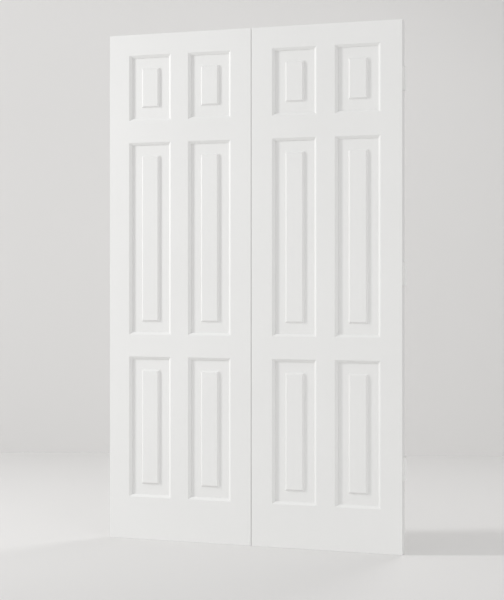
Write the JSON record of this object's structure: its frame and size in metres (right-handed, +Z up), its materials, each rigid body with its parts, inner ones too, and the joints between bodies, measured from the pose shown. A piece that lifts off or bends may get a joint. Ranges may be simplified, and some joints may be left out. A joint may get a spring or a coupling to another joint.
{
  "type": "interior double door",
  "caption": "White panelled interior double door: two matching stile-and-rail leaves with raised panels, each swinging on butt hinges at its outer edge.",
  "frame": {"origin": "bottom edge of the leaves, in the middle of the seam between them and half way through their thickness; the barrels behind the back face put the bounding box's middle 5 mm further back", "axes": "+Z up, +X to the right across the pair as seen from the front, +Y from the front face to the back"},
  "size_m": [1.2293, 0.045, 2.032],
  "materials": {
    "door_paint": "satin white paint",
    "hinge_paint": "satin white enamel",
    "steel": "satin zinc-plated",
    "dowel_wood": "bare beech"
  },
  "bodies": {
    "fixed_hinge_halves": {"left_bottom_hinge_frame_plate": "hinge_paint", "left_bottom_hinge_pin": "steel", "left_middle_hinge_frame_plate": "hinge_paint", "left_middle_hinge_pin": "steel", "left_top_hinge_frame_plate": "hinge_paint", "left_top_hinge_pin": "steel", "right_bottom_hinge_frame_plate": "hinge_paint", "right_bottom_hinge_pin": "steel", "right_middle_hinge_frame_plate": "hinge_paint", "right_middle_hinge_pin": "steel", "right_top_hinge_frame_plate": "hinge_paint", "right_top_hinge_pin": "steel"},
    "left_leaf": {"left_bottom_hinge_door_plate": "hinge_paint", "left_bottom_inner_panel": "door_paint", "left_bottom_mullion": "door_paint", "left_bottom_outer_panel": "door_paint", "left_bottom_rail": "door_paint", "left_dowels": "dowel_wood", "left_frieze_rail": "door_paint", "left_hinge_screws": "steel", "left_hinge_stile": "door_paint", "left_lock_rail": "door_paint", "left_meeting_stile": "door_paint", "left_middle_hinge_door_plate": "hinge_paint", "left_middle_inner_panel": "door_paint", "left_middle_mullion": "door_paint", "left_middle_outer_panel": "door_paint", "left_top_hinge_door_plate": "hinge_paint", "left_top_inner_panel": "door_paint", "left_top_mullion": "door_paint", "left_top_outer_panel": "door_paint", "left_top_rail": "door_paint"},
    "right_leaf": {"right_bottom_hinge_door_plate": "hinge_paint", "right_bottom_inner_panel": "door_paint", "right_bottom_mullion": "door_paint", "right_bottom_outer_panel": "door_paint", "right_bottom_rail": "door_paint", "right_dowels": "dowel_wood", "right_frieze_rail": "door_paint", "right_hinge_screws": "steel", "right_hinge_stile": "door_paint", "right_lock_rail": "door_paint", "right_meeting_stile": "door_paint", "right_middle_hinge_door_plate": "hinge_paint", "right_middle_inner_panel": "door_paint", "right_middle_mullion": "door_paint", "right_middle_outer_panel": "door_paint", "right_top_hinge_door_plate": "hinge_paint", "right_top_inner_panel": "door_paint", "right_top_mullion": "door_paint", "right_top_outer_panel": "door_paint", "right_top_rail": "door_paint"}
  },
  "joints": [
    {"name": "left_leaf_swing", "type": "hinge", "parent": "fixed_hinge_halves", "child": "left_leaf", "pos_m": [-0.6099, 0.02275, 0], "axis": [0, 0, 1], "range_deg": [0, 180]},
    {"name": "right_leaf_swing", "type": "hinge", "parent": "fixed_hinge_halves", "child": "right_leaf", "pos_m": [0.6099, 0.02275, 0], "axis": [0, 0, -1], "range_deg": [0, 180]}
  ]
}
